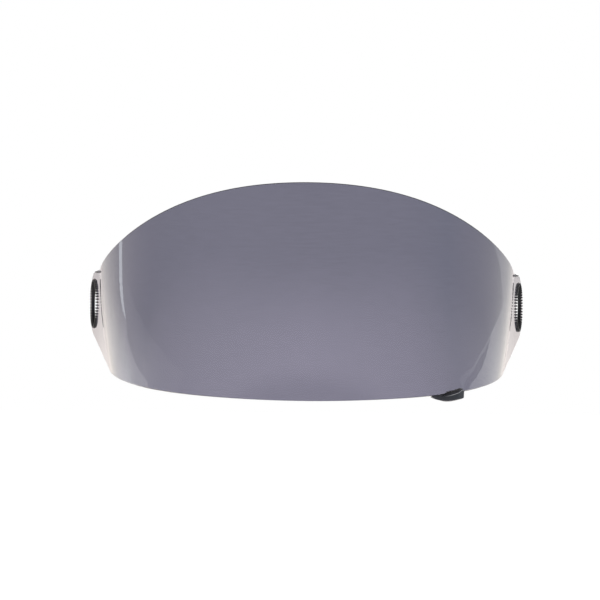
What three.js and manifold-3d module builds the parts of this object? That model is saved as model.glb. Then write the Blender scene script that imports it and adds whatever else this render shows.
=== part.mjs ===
// A smoke-tinted motorcycle helmet visor with its pivot rings and lift tab, in millimetres and degrees.
// The origin is midway between the centres of the two ear holes. -Y is the front, +Z is up.
import * as THREE from "three";
import { mergeGeometries, mergeVertices } from "three/addons/utils/BufferGeometryUtils.js";
import Module from "manifold-3d";

const wasm = await Module();
wasm.setup();

const degree = Math.PI / 180;

// Fits
const fitGap = 0.3; // between pieces that touch or turn in each other
const overrun = 2; // how far a cutter reaches past what it cuts
const weldDistance = 1e-4;
const slopeStep = 0.01; // for slopes on the curved surface, in height
const slopeStepShare = 1e-4; // and along a column's share

// Shell: the curved front
const shellThickness = 2;
const frontReach = 142; // from the ear-hole axis to the front, at the axis's height
const frontLean = 8 * degree; // the front leans back
const frontBowRadius = 420; // its upright curve
const shoulderShare = 0.98; // how square the plan curve's shoulder is: the middle weight of a conic
const frontTopHeight = 65.6;
const frontBottomDepth = 48.9;
const topRearSlope = 8.5 * degree;
const topFrontSlope = 45 * degree;
const bottomRearSlope = 6.3 * degree;
const bottomFrontSlope = 22.8 * degree;

// Shell: the flat ears
const earHoleHalfSpan = 128.3; // from the middle plane to an ear's outer face, at its hole
const earSplay = 14 * degree; // the ears spread towards the back
const earRadius = 19;
const earHoleRadius = 15;
const creaseSetback = 25; // from the hole's centre forward to the crease, at its top
const creaseTopHeight = 20.4;
const creaseSweep = 45.7; // how much further forward the crease runs at its foot
const creaseFootDepth = 37;
const creaseAngle = 81.5 * degree; // the plan curve's direction where it meets the crease
const notchForwards = [17.5, 7.3, -2.7]; // each notch's place forward of the hole's centre
const notchWidth = 2.4;
const notchDepth = 1.4;

// Pivot rings
const ringWall = 1.2;
const ringToothCount = 50;
const ringToothHeight = 1;
const ringToothSink = 0.2; // how deep a tooth's root lies in the ring
const ringToothInset = 0.05; // of a tooth from the ring's bore and outside
const toothRootShare = 0.6; // of the tooth pitch
const toothTipShare = 0.3;
const beadHeight = 0.5;
const beadRootWidth = 0.5;
const beadTipWidth = 0.2;

// Lift tab, along the lower edge at +X
const tabInnerEnd = 65.5; // from the middle plane, at the lower edge
const tabOuterEnd = 82;
const tabReach = 4.2; // how far it stands out of the shell
const tabRise = 2; // above the shell's lower edge
const tabDrop = 4.8; // below it, at the foot of the front face
const tabScoopDepth = 0.6;
const tabFloor = 0.7; // under the pocket for the shell's tongue
// Its sections from the inner tip to the outer end, as shares of the tab's sizes: [place along, rise of
// the top, reach and rise of the ridge, reach and drop of the foot, depth of the floor at the back]
const tabSectionShares = [
  [0, 0, 0.19, -0.15, 0.19, 0.21, 0.1],
  [0.1, 0, 0.29, -0.25, 0.31, 0.5, 0.33],
  [0.28, 0.09, 0.48, -0.7, 0.57, 0.77, 0.62],
  [0.46, 0.42, 0.67, -0.85, 0.76, 0.94, 0.88],
  [0.66, 0.73, 0.79, -0.7, 0.93, 1, 1],
  [0.79, 0.9, 0.81, -0.45, 0.98, 1, 1],
  [0.9, 1, 0.62, 0.15, 0.98, 1, 0.98],
  [1, 0.8, 0.62, -0.1, 0.9, 0.93, 0.94],
];

// The tongue of the shell that carries the tab, the clamp plate and its screws
const tongueInnerEnd = 74.4;
const tongueOuterEnd = 81;
const tongueChamfer = 0.8;
const tongueDrop = 2.9;
const clampThickness = 1;
const clampRise = 1.6;
const screwDepth = 1.8; // of the screws' line below the lower edge
const screwInnerPlace = 76;
const screwOuterPlace = 79.4;
const screwRadius = 0.6;
const screwClearance = 0.2;
const screwBite = 1.6; // into the tab
const screwHeadRadius = 1.15;
const screwHeadHeight = 0.9;
const screwSlotLength = 1.6;
const screwSlotWidth = 0.4;
const screwSlotDepth = 0.4;

// Counts of facets
const lensColumns = 22; // in each half
const nearColumnShare = 0.3; // of a column's width: none stands closer than this to the tongue
const plateColumns = 4;
const endColumns = 7;
const rows = 10;
const tabPartsPerStretch = 2;
const tabCutParts = 8;
const tongueParts = 4;
const screwSides = 16;
const solveSteps = 50;

const ringOuterRadius = earHoleRadius - fitGap;
const ringBoreRadius = ringOuterRadius - ringWall;
const grooveRadius = ringOuterRadius + beadHeight + fitGap;

function mix(a, b, share) {
  return a + (b - a) * share;
}

// The ears' outer plane at +X, seen from above.
function earPlaneX(y) {
  return earHoleHalfSpan + Math.tan(earSplay) * y;
}

// The crease at a height, on the ear's plane. It is upright above its top and sweeps forward below it.
function creaseY(z) {
  const fall = Math.max(0, creaseTopHeight - z) / (creaseTopHeight + creaseFootDepth);
  return -creaseSetback - creaseSweep * fall * fall;
}

function frontReachAt(z) {
  return frontReach - Math.tan(frontLean) * z - (z * z) / (2 * frontBowRadius);
}

// The front's outer surface in the +X half: share runs from 0 in the middle to 1 at the crease.
// Each level is a conic that starts straight across and ends at the crease's angle.
function lensPoint(share, z) {
  const start = [0, -frontReachAt(z)];
  const end = [earPlaneX(creaseY(z)), creaseY(z)];
  const control = [end[0] - (end[1] - start[1]) / Math.tan(creaseAngle), start[1]];
  const weights = [(1 - share) ** 2, 2 * shoulderShare * share * (1 - share), share ** 2];
  const total = weights[0] + weights[1] + weights[2];
  const [x, y] = [0, 1].map(
    (k) => (weights[0] * start[k] + weights[1] * control[k] + weights[2] * end[k]) / total,
  );
  return new THREE.Vector3(x, y, z);
}

const earNormal = new THREE.Vector3(Math.cos(earSplay), -Math.sin(earSplay), 0);

function lensNormal(share, z) {
  const across = lensPoint(share + slopeStepShare, z).sub(lensPoint(share - slopeStepShare, z));
  const up = lensPoint(share, z + slopeStep).sub(lensPoint(share, z - slopeStep));
  return across.cross(up).normalize();
}

// The quadratic curve from one end to the other with the given slopes, as height over depth.
function edgeCurve(rear, rearRise, front, frontRise) {
  const run = rear.y - front.y;
  const along = (front.z - rear.z - run * frontRise) / (rearRise - frontRise);
  const control = { y: rear.y - along, z: rear.z + along * rearRise };
  return (y) => {
    if (y <= front.y) return front.z + (front.y - y) * frontRise;
    const bend = rear.y - 2 * control.y + front.y;
    const lead = control.y - rear.y;
    const share = (y - rear.y) / (lead - Math.sqrt(lead * lead + bend * (y - rear.y)));
    return mix(mix(rear.z, control.z, share), mix(control.z, front.z, share), share);
  };
}

// The straight edge from a point to the round end of the ear, then that round end, as height over depth.
function earEdge(from, side) {
  const away = Math.acos(earRadius / Math.hypot(from.y, from.z));
  const angle = Math.atan2(from.z, from.y) - side * away;
  const touch = { y: earRadius * Math.cos(angle), z: earRadius * Math.sin(angle) };
  return (y) => {
    if (y <= touch.y) return mix(from.z, touch.z, (y - from.y) / (touch.y - from.y));
    return side * Math.sqrt(Math.max(0, earRadius ** 2 - y * y));
  };
}

// The shell's outline seen from the side.
const creaseTop = { y: creaseY(creaseTopHeight), z: creaseTopHeight };
const creaseFoot = { y: creaseY(-creaseFootDepth), z: -creaseFootDepth };
const frontTop = { y: -frontReachAt(frontTopHeight), z: frontTopHeight };
const frontBottom = { y: -frontReachAt(-frontBottomDepth), z: -frontBottomDepth };
const lensTop = edgeCurve(creaseTop, Math.tan(topRearSlope), frontTop, Math.tan(topFrontSlope));
const lensBottom = edgeCurve(
  creaseFoot,
  -Math.tan(bottomRearSlope),
  frontBottom,
  -Math.tan(bottomFrontSlope),
);
const earTop = earEdge(creaseTop, 1);
const earBottom = earEdge(creaseFoot, -1);
const aboveAll = 2 * frontTopHeight;
const belowAll = -2 * frontBottomDepth;

// The height at which a column, given as its depth at each height, crosses an edge on its way from the
// axis's height to a far one.
function crossing(depthAt, edge, far) {
  let [near, away] = [0, far];
  for (let i = 0; i < solveSteps; i++) {
    const middle = (near + away) / 2;
    if ((middle - edge(depthAt(middle))) * Math.sign(far) < 0) near = middle;
    else away = middle;
  }
  return (near + away) / 2;
}

function lensColumn(share) {
  const depthAt = (z) => lensPoint(share, z).y;
  return {
    bottom: crossing(depthAt, lensBottom, belowAll),
    top: crossing(depthAt, lensTop, aboveAll),
    outer: (z) => lensPoint(share, z),
    normal: (z) => {
      const own = lensNormal(share, z);
      return share < 1 ? own : own.add(earNormal).normalize();
    },
  };
}

function earColumn(depthAt) {
  return {
    bottom: crossing(depthAt, earBottom, belowAll),
    top: crossing(depthAt, earTop, aboveAll),
    outer: (z) => new THREE.Vector3(earPlaneX(depthAt(z)), depthAt(z), z),
    normal: () => earNormal.clone(),
  };
}

// The share of the front's columns whose lower edge is a given distance from the middle plane.
function shareAtEdge(x) {
  let [low, high] = [0, 1];
  for (let i = 0; i < solveSteps; i++) {
    const middle = (low + high) / 2;
    const column = lensColumn(middle);
    if (column.outer(column.bottom).x < x) low = middle;
    else high = middle;
  }
  return (low + high) / 2;
}

const tongueRootShares = [tongueInnerEnd, tongueOuterEnd].map(shareAtEdge);
const tongueTipShares = [tongueInnerEnd + tongueChamfer, tongueOuterEnd - tongueChamfer].map(shareAtEdge);
const [tabStart, tabEnd] = [tabInnerEnd, tabOuterEnd].map(shareAtEdge);

// The share that a length along the lower edge takes up near the tab.
function shareOfLength(length) {
  return (length * (tabEnd - tabStart)) / (tabOuterEnd - tabInnerEnd);
}

// The front's columns in one half, the +X half with the tongue's corners among them.
function frontColumns(withTongue) {
  const even = Array.from({ length: lensColumns + 1 }, (_, i) => i / lensColumns);
  if (!withTongue) return even.map(lensColumn);
  const spare = nearColumnShare / lensColumns;
  const clear = even.filter((s) => s < tongueRootShares[0] - spare || s > tongueRootShares[1] + spare);
  const shares = [...clear, ...tongueRootShares, ...tongueTipShares].sort((a, b) => a - b);
  return shares.map((share) => {
    const column = lensColumn(share);
    if (tongueTipShares.includes(share)) column.bottom -= tongueDrop;
    return column;
  });
}

function earColumns() {
  const onPlate = Array.from({ length: plateColumns }, (_, i) => {
    const share = (i + 1) / plateColumns;
    return earColumn((z) => mix(creaseY(z), 0, share));
  });
  const onEnd = Array.from({ length: endColumns }, (_, i) => {
    const y = earRadius * Math.sin(((i + 1) / endColumns) * 90 * degree);
    return earColumn(() => y);
  });
  return [...onPlate, ...onEnd];
}

function mirrored(column) {
  const flip = (v) => v.setX(-v.x);
  return { ...column, outer: (z) => flip(column.outer(z)), normal: (z) => flip(column.normal(z)) };
}

// A closed geometry from its corners and triangles, without the triangles that have closed up.
function closedGeometry(points, triangles) {
  const positions = new Float32Array(points.flatMap((p) => [p.x, p.y, p.z]));
  const geometry = new THREE.BufferGeometry();
  geometry.setAttribute("position", new THREE.BufferAttribute(positions, 3));
  geometry.setIndex(triangles.flat());
  const welded = mergeVertices(geometry, weldDistance);
  const kept = [];
  for (let i = 0; i < welded.index.count; i += 3) {
    const [a, b, c] = [0, 1, 2].map((k) => welded.index.getX(i + k));
    if (a !== b && b !== c && c !== a) kept.push(a, b, c);
  }
  welded.setIndex(kept);
  return welded;
}

// The triangles between closed rings of points, each of which runs anticlockwise seen from the last
// ring's side.
function tubeTriangles(rings) {
  const size = rings[0].length;
  return rings.slice(1).flatMap((_, r) =>
    Array.from({ length: size }, (_, k) => {
      const [a, b] = [r * size + k, r * size + ((k + 1) % size)];
      return [
        [a, b, b + size],
        [a, b + size, a + size],
      ];
    }).flat(),
  );
}

// A tube between such rings, with flat ends.
function loft(rings) {
  const triangles = tubeTriangles(rings);
  const last = (rings.length - 1) * rings[0].length;
  for (const face of THREE.ShapeUtils.triangulateShape(flatten(rings[0]), []))
    triangles.push([face[0], face[2], face[1]]);
  for (const face of THREE.ShapeUtils.triangulateShape(flatten(rings.at(-1)), []))
    triangles.push(face.map((k) => k + last));
  return closedGeometry(rings.flat(), triangles);
}

// A ring's points in its own plane, anticlockwise.
function flatten(ring) {
  const [origin, first] = ring;
  const normal = new THREE.Vector3();
  ring.forEach((p, k) => {
    const next = ring[(k + 1) % ring.length];
    normal.add(p.clone().sub(origin).cross(next.clone().sub(origin)));
  });
  normal.normalize();
  const across = first.clone().sub(origin).normalize();
  const up = normal.clone().cross(across);
  return ring.map((p) => {
    const from = p.clone().sub(origin);
    return new THREE.Vector2(from.dot(across), from.dot(up));
  });
}

function solid(geometry) {
  const bare = geometry.clone();
  bare.deleteAttribute("normal");
  bare.deleteAttribute("uv");
  const merged = mergeVertices(bare, weldDistance);
  return new wasm.Manifold(
    new wasm.Mesh({
      numProp: 3,
      vertProperties: merged.attributes.position.array,
      triVerts: new Uint32Array(merged.index.array),
    }),
  );
}

function geometryOf(made) {
  const { vertProperties, triVerts } = made.getMesh();
  const geometry = new THREE.BufferGeometry();
  geometry.setAttribute("position", new THREE.BufferAttribute(vertProperties, 3));
  geometry.setIndex(new THREE.BufferAttribute(triVerts, 1));
  return geometry;
}

// A turned solid about local Z, from a closed profile of [radius, height] pairs taken anticlockwise.
function turned(profile, sides) {
  const points = [...profile, profile[0]].map(([radius, height]) => new THREE.Vector2(radius, height));
  return new THREE.LatheGeometry(points, sides).rotateX(90 * degree);
}

// Local Z points out of the ear, local Y up, and the origin is the hole's centre on the outer face.
function earFrame(side) {
  const out = new THREE.Vector3(side * Math.cos(earSplay), -Math.sin(earSplay), 0);
  const up = new THREE.Vector3(0, 0, 1);
  const along = up.clone().cross(out);
  return new THREE.Matrix4().makeBasis(along, up, out).setPosition(side * earHoleHalfSpan, 0, 0);
}

function earHoleCutter() {
  const middle = -shellThickness / 2;
  const grooveHalf = beadRootWidth / 2 + fitGap;
  const profile = [
    [0, -shellThickness - overrun],
    [earHoleRadius, -shellThickness - overrun],
    [earHoleRadius, middle - grooveHalf],
    [grooveRadius, middle - grooveHalf],
    [grooveRadius, middle + grooveHalf],
    [earHoleRadius, middle + grooveHalf],
    [earHoleRadius, overrun],
    [0, overrun],
  ];
  return turned(profile, ringToothCount);
}

// A V cut into the ear's upper edge, in the ear's frame.
function notchCutter(forward, side) {
  const top = earTop(-forward);
  const along = (-side * forward) / Math.cos(earSplay);
  const shape = new THREE.Shape([
    new THREE.Vector2(along - notchWidth, top + notchDepth),
    new THREE.Vector2(along, top - notchDepth),
    new THREE.Vector2(along + notchWidth, top + notchDepth),
  ]);
  const depth = shellThickness + 2 * overrun;
  return new THREE.ExtrudeGeometry(shape, { depth, bevelEnabled: false }).translate(0, 0, -depth + overrun);
}

// Places on the shell near the lift tab: out is the distance in front of the outer face, and rise the
// height above the lower edge.
function onShell(share, out, rise) {
  const column = lensColumn(share);
  const z = column.bottom + rise;
  return column.outer(z).addScaledVector(column.normal(z), out);
}

// Local Z points out of the shell, from the place on its outer face where a screw's line passes.
function screwFrame(x) {
  const share = shareAtEdge(x);
  const column = lensColumn(share);
  const z = column.bottom - screwDepth;
  const out = column.normal(z);
  const along = new THREE.Vector3(0, 0, 1).cross(out).normalize();
  return new THREE.Matrix4().makeBasis(along, out.clone().cross(along), out).setPosition(column.outer(z));
}

const screwFrames = [screwInnerPlace, screwOuterPlace].map(screwFrame);

// A block that follows the shell, between two shares, two distances out and two rises.
function shellBlock(fromShare, toShare, [back, front], [low, high], parts) {
  const rings = Array.from({ length: parts + 1 }, (_, i) => {
    const share = mix(fromShare, toShare, i / parts);
    return [
      onShell(share, back, low),
      onShell(share, back, high),
      onShell(share, front, high),
      onShell(share, front, low),
    ];
  });
  return loft(rings);
}

function screwHoles(radius) {
  const reach = shellThickness + clampThickness + fitGap + overrun;
  const profile = [
    [0, -reach],
    [radius, -reach],
    [radius, screwBite + fitGap],
    [0, screwBite + fitGap],
  ];
  return screwFrames.map((frame) => solid(turned(profile, screwSides).applyMatrix4(frame)));
}

function visorShell() {
  const right = [...frontColumns(true), ...earColumns()];
  const left = [...frontColumns(false).slice(1), ...earColumns()].map(mirrored).reverse();
  const rings = [...left, ...right].map((column) => {
    const heights = Array.from({ length: rows + 1 }, (_, i) => mix(column.bottom, column.top, i / rows));
    const outer = heights.map((z) => column.outer(z));
    const inner = heights.map((z) => column.outer(z).addScaledVector(column.normal(z), -shellThickness));
    return [...inner, ...outer.reverse()];
  });
  // The rings at both ends have closed up to a line, so the tube needs no end faces.
  let made = solid(closedGeometry(rings.flat(), tubeTriangles(rings)));
  for (const side of [-1, 1]) {
    const frame = earFrame(side);
    made = made.subtract(solid(earHoleCutter().applyMatrix4(frame)));
    for (const forward of notchForwards)
      made = made.subtract(solid(notchCutter(forward, side).applyMatrix4(frame)));
  }
  for (const hole of screwHoles(screwRadius + screwClearance)) made = made.subtract(hole);
  return geometryOf(made);
}

// One tooth of the crown, on one facet of the ring, as a wedge between its bore and its outside.
function crownTooth(facet) {
  const rim = (radius, end) => {
    const angle = ((facet + end) / ringToothCount) * 360 * degree;
    return new THREE.Vector3(radius * Math.cos(angle), radius * Math.sin(angle), 0);
  };
  const corner = (radius, share, height) => rim(radius, 0).lerp(rim(radius, 1), share).setZ(height);
  const section = (radius) => [
    corner(radius, (1 - toothRootShare) / 2, -ringToothSink),
    corner(radius, (1 + toothRootShare) / 2, -ringToothSink),
    corner(radius, (1 + toothTipShare) / 2, ringToothHeight),
    corner(radius, (1 - toothTipShare) / 2, ringToothHeight),
  ];
  return loft([section(ringBoreRadius + ringToothInset), section(ringOuterRadius - ringToothInset)]);
}

function pivotRing() {
  const middle = -shellThickness / 2;
  const beadRadius = ringOuterRadius + beadHeight;
  const profile = [
    [ringBoreRadius, -shellThickness],
    [ringOuterRadius, -shellThickness],
    [ringOuterRadius, middle - beadRootWidth / 2],
    [beadRadius, middle - beadTipWidth / 2],
    [beadRadius, middle + beadTipWidth / 2],
    [ringOuterRadius, middle + beadRootWidth / 2],
    [ringOuterRadius, 0],
    [ringBoreRadius, 0],
  ];
  const teeth = Array.from({ length: ringToothCount }, (_, facet) => crownTooth(facet));
  return geometryOf(solid(turned(profile, ringToothCount)).add(solid(mergeGeometries(teeth))));
}

function tabSection([place, top, reach, ridge, footReach, foot, floor]) {
  const share = mix(tabStart, tabEnd, place);
  const scoop = ((top + ridge) / 2) * tabRise - tabScoopDepth * reach;
  return [
    onShell(share, -shellThickness, -floor * (tongueDrop + fitGap + tabFloor)),
    onShell(share, -shellThickness, top * tabRise),
    onShell(share, fitGap, top * tabRise),
    onShell(share, (reach * tabReach) / 2, scoop),
    onShell(share, reach * tabReach, ridge * tabRise),
    onShell(share, footReach * tabReach, -foot * tabDrop),
  ];
}

// The tab's sections, with more between them on straight lines.
function tabSections() {
  const between = tabSectionShares.slice(1).flatMap((row, i) =>
    Array.from({ length: tabPartsPerStretch }, (_, k) =>
      row.map((value, n) => mix(tabSectionShares[i][n], value, (k + 1) / tabPartsPerStretch)),
    ),
  );
  return [tabSectionShares[0], ...between].map(tabSection);
}

function liftTab() {
  let made = solid(loft(tabSections()));
  const reach = [-shellThickness - overrun, fitGap];
  const [pastStart, pastEnd] = [tabStart - shareOfLength(overrun), tabEnd + shareOfLength(overrun)];
  const shellRoom = shellBlock(pastStart, pastEnd, reach, [-fitGap, tabRise + overrun], tabCutParts);
  const pocketStart = tongueRootShares[0] - shareOfLength(fitGap);
  const pocketEnd = tongueRootShares[1] + shareOfLength(fitGap);
  const pocket = shellBlock(pocketStart, pocketEnd, reach, [-tongueDrop - fitGap, overrun], tongueParts);
  made = made.subtract(solid(shellRoom)).subtract(solid(pocket));
  for (const hole of screwHoles(screwRadius + screwClearance)) made = made.subtract(hole);
  return geometryOf(made);
}

function clampPlate() {
  const front = -shellThickness - fitGap;
  const reach = [front - clampThickness, front];
  let made = solid(shellBlock(...tongueRootShares, reach, [-tongueDrop, clampRise], tongueParts));
  for (const hole of screwHoles(screwRadius + screwClearance)) made = made.subtract(hole);
  return geometryOf(made);
}

// In the screw's own frame, with the head on the inside of the clamp plate.
function tabScrew() {
  const seat = -shellThickness - clampThickness - 2 * fitGap;
  const profile = [
    [0, seat - screwHeadHeight],
    [screwHeadRadius, seat - screwHeadHeight],
    [screwHeadRadius, seat],
    [screwRadius, seat],
    [screwRadius, screwBite],
    [0, screwBite],
  ];
  let made = solid(turned(profile, screwSides));
  for (const turn of [0, 90 * degree]) {
    const slot = new THREE.BoxGeometry(screwSlotLength, screwSlotWidth, 2 * screwSlotDepth);
    made = made.subtract(solid(slot.rotateZ(turn).translate(0, 0, seat - screwHeadHeight)));
  }
  return geometryOf(made);
}

const smoke = new THREE.MeshStandardMaterial({
  color: 0x7c7b88,
  roughness: 0.06,
  metalness: 0,
  transparent: true,
  opacity: 0.8,
});
const black = new THREE.MeshStandardMaterial({ color: 0x1e1e20, roughness: 0.45, metalness: 0 });
const steel = new THREE.MeshStandardMaterial({ color: 0x8a8b8e, roughness: 0.35, metalness: 1 });

function named(name, geometry, material, frame) {
  const mesh = new THREE.Mesh(geometry, material);
  mesh.name = name;
  if (frame) mesh.applyMatrix4(frame);
  return mesh;
}

const group = new THREE.Group();
group.add(
  named("visor_shell", visorShell(), smoke),
  named("pivot_ring_left", pivotRing(), black, earFrame(-1)),
  named("pivot_ring_right", pivotRing(), black, earFrame(1)),
  named("lift_tab", liftTab(), black),
  named("tab_clamp_plate", clampPlate(), black),
);
screwFrames.forEach((frame, i) => group.add(named(`tab_screw_${i + 1}`, tabScrew(), steel, frame)));

export default group;
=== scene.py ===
# A smoke-tinted motorcycle helmet visor: its shell, pivot rings and lift tab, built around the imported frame.
# The origin is midway between the centres of the two ear holes. -Y is the front, and +Z is up. In metres.
import math

import bmesh
import bpy
from mathutils import Matrix, Vector


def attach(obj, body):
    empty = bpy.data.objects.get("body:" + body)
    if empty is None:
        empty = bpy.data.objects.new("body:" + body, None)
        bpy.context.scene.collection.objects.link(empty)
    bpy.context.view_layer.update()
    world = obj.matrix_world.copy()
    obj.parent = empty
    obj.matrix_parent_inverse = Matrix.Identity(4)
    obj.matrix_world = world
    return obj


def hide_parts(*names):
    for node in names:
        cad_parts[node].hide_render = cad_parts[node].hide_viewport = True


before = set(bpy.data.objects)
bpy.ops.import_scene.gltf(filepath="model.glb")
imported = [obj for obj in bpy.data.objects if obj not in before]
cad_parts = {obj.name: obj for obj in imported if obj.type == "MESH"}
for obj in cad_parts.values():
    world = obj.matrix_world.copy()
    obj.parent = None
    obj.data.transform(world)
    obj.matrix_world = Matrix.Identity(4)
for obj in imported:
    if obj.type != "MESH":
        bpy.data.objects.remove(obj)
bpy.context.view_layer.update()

MM = 0.001
DEGREE = math.pi / 180

# Fits, and the small steps over which slopes are taken
FIT_GAP = 0.3 * MM
OVERRUN = 2 * MM
SLOPE_STEP = 0.01 * MM
SLOPE_STEP_SHARE = 1e-4

# Shell: the curved front
SHELL_THICKNESS = 2 * MM
FRONT_REACH = 142 * MM
FRONT_LEAN = 8 * DEGREE
FRONT_BOW_RADIUS = 420 * MM
SHOULDER_SHARE = 0.98
FRONT_TOP_HEIGHT = 65.6 * MM
FRONT_BOTTOM_DEPTH = 48.9 * MM
TOP_REAR_SLOPE = 8.5 * DEGREE
TOP_FRONT_SLOPE = 45 * DEGREE
BOTTOM_REAR_SLOPE = 6.3 * DEGREE
BOTTOM_FRONT_SLOPE = 22.8 * DEGREE
RIM_RADIUS = 0.3 * MM
RIM_SUPPORT = 0.2 * MM  # a loop of points this far inside the rounding keeps the faces beside it true

# Shell: the flat ears
EAR_HOLE_HALF_SPAN = 128.3 * MM
EAR_SPLAY = 14 * DEGREE
EAR_RADIUS = 19 * MM
EAR_HOLE_RADIUS = 15 * MM
CREASE_SETBACK = 25 * MM
CREASE_TOP_HEIGHT = 20.4 * MM
CREASE_SWEEP = 45.7 * MM
CREASE_FOOT_DEPTH = 37 * MM
CREASE_ANGLE = 81.5 * DEGREE
CREASE_SOFTNESS = 1 * MM  # the crease is rounded this far on each side
NOTCH_FORWARDS = [17.5 * MM, 7.3 * MM, -2.7 * MM]
NOTCH_WIDTH = 2.4 * MM
NOTCH_DEPTH = 1.4 * MM
NOTCH_MARGIN = 1.5  # no other point of the edge is nearer to a notch's middle than this many half widths

# Pivot rings
RING_WALL = 1.2 * MM
RING_TOOTH_COUNT = 50
RING_TOOTH_HEIGHT = 1 * MM
RING_CHAMFER = 0.1 * MM
BEAD_HEIGHT = 0.5 * MM
BEAD_ROOT_WIDTH = 0.5 * MM
BEAD_TIP_WIDTH = 0.2 * MM
# One tooth's outline over its pitch: [share of the pitch, share of the tooth's height]
TOOTH_SHARES = [
    [0, 0],
    [0.2, 0],
    [0.24, 0.1],
    [0.33, 0.9],
    [0.38, 1],
    [0.62, 1],
    [0.67, 0.9],
    [0.76, 0.1],
    [0.8, 0],
]

# Lift tab
TAB_INNER_END = 65.5 * MM
TAB_OUTER_END = 82 * MM
TAB_REACH = 4.2 * MM
TAB_RISE = 2 * MM
TAB_DROP = 4.8 * MM
TAB_SCOOP_DEPTH = 0.6 * MM
TAB_FLOOR = 0.7 * MM
TAB_EDGE_RADIUS = 0.3 * MM
TAB_END_RADIUS = 0.5 * MM
# The tab's top edge and ridge are painted lighter grey: partly wear, partly a painted edge highlight.
TAB_WEAR_AND_HIGHLIGHT_CORNERS = (3, 5)  # its top edge and its ridge, by their places in its section's corners
TAB_WEAR_AND_HIGHLIGHT_FROM = (0.3, 0.6)  # places along it between which their wear and painted highlight begin
# Its sections from the inner tip to the outer end, as shares of the tab's sizes: [place along, rise of
# the top, reach and rise of the ridge, reach and drop of the foot, depth of the floor at the back]
TAB_SECTION_SHARES = [
    [0, 0, 0.19, -0.15, 0.19, 0.21, 0.1],
    [0.1, 0, 0.29, -0.25, 0.31, 0.5, 0.33],
    [0.28, 0.09, 0.48, -0.7, 0.57, 0.77, 0.62],
    [0.46, 0.42, 0.67, -0.85, 0.76, 0.94, 0.88],
    [0.66, 0.73, 0.79, -0.7, 0.93, 1, 1],
    [0.79, 0.9, 0.81, -0.45, 0.98, 1, 1],
    [0.9, 1, 0.62, 0.15, 0.98, 1, 0.98],
    [1, 0.8, 0.62, -0.1, 0.9, 0.93, 0.94],
]

# The shell's tongue, the clamp plate and its screws
TONGUE_INNER_END = 74.4 * MM
TONGUE_OUTER_END = 81 * MM
TONGUE_CHAMFER = 0.8 * MM
TONGUE_DROP = 2.9 * MM
CLAMP_THICKNESS = 1 * MM
CLAMP_RISE = 1.6 * MM
CLAMP_EDGE_RADIUS = 0.2 * MM
BLOCK_END_INSET_SHARE = 0.6  # a block's end sections are drawn in by this share of its edges' radius
SCREW_DEPTH = 1.8 * MM
SCREW_PLACES = [76 * MM, 79.4 * MM]
SCREW_RADIUS = 0.6 * MM
SCREW_CLEARANCE = 0.2 * MM
SCREW_BITE = 1.6 * MM
SCREW_HEAD_RADIUS = 1.15 * MM
SCREW_HEAD_HEIGHT = 0.9 * MM
SCREW_HEAD_EDGE_SHARE = 0.35  # the height of its upright edge, below the dome
SCREW_SLOT_LENGTH = 1.6 * MM
SCREW_SLOT_WIDTH = 0.4 * MM
SCREW_SLOT_DEPTH = 0.4 * MM

# Counts
LENS_COLUMNS = 110  # in each half
ROWS = 48
TONGUE_ROWS = 4
CREASE_PARTS = 4
EAR_LEVELS = 5
EAR_LINE_PARTS = 14
EAR_ROUND_PARTS = 36
RIM_ARC_PARTS = 4
TAB_SECTIONS = 60
CORNER_PARTS = 3
SIDES_PER_ARC = 2.2  # a corner's arc uses at most one part in this many of each side beside it
BLOCK_PARTS = 24
SCREW_SIDES = 32
DOME_PARTS = 6
SOLVE_STEPS = 50

RING_OUTER_RADIUS = EAR_HOLE_RADIUS - FIT_GAP
RING_BORE_RADIUS = RING_OUTER_RADIUS - RING_WALL
GROOVE_DEPTH = BEAD_HEIGHT
GROOVE_HALF_WIDTH = BEAD_ROOT_WIDTH / 2 + FIT_GAP
BELOW_ALL = -2 * FRONT_BOTTOM_DEPTH
ABOVE_ALL = 2 * FRONT_TOP_HEIGHT

# The shell's plastic. Its tint is in its depth, and it has fine level streaks from its flow in the mould
POLYCARBONATE_IOR = 1.585
TINT_COLOUR = (0.114, 0.099, 0.241)
TINT_DENSITY = 1000  # a metre
FLOW_LINES = 900  # a metre, up the shell
FLOW_STRETCH = (0.14, 0.14, 1)
FLOW_DETAIL = 3
FLOW_TINT = 0.95  # of the darkest streaks
FLOW_CONTRAST = (-1, 2)  # what the streaks' noise is spread to before it is cut off at 0 and 1
FLOW_LINE_HEIGHT = 0.002 * MM

# The black plastics and the steel. Patches and grain are in cycles a metre
MOULDED_IOR = 1.5
MOULDED_PATCHES = 400
MOULDED_PATCH_DETAIL = 4
MOULDED_ROUGHNESS_SPREAD = 0.08
GRAIN_DETAIL = 6
GRAIN_STRENGTH = 0.5
# The grey of marked edges: partly wear, partly a painted edge highlight.
WEAR_AND_HIGHLIGHT_GREY = (0.35, 0.35, 0.36)
RING_BLACK = (0.007, 0.007, 0.008)
RING_ROUGHNESS = 0.3
RING_GLOSS = 0.25
RING_GRAIN = 6000
RING_GRAIN_HEIGHT = 0.01 * MM
TAB_BLACK = (0.006, 0.006, 0.007)
TAB_ROUGHNESS = 0.27
TAB_GLOSS = 0.6
TAB_GRAIN = 5000
TAB_GRAIN_HEIGHT = 0.02 * MM
STEEL_GREY = (0.42, 0.42, 0.43)
STEEL_PATCHES = 3000
STEEL_PATCH_DETAIL = 4
STEEL_ROUGHNESS = (0.25, 0.45)

# A Mix node has sockets of the same names for each kind of value. These are the colours', by their places
MIX_COLOUR_INPUTS = (6, 7)
MIX_COLOUR_OUTPUT = 2

# The photograph's view
CAMERA_PLACE = Vector((-3.9 * MM, -1000 * MM, 3.3 * MM))
CAMERA_ROLL = 0.53 * DEGREE
CAMERA_FOCUS_PX = 1653
PHOTO_WIDTH_PX = 600
SENSOR_WIDTH_MM = 36

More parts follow.
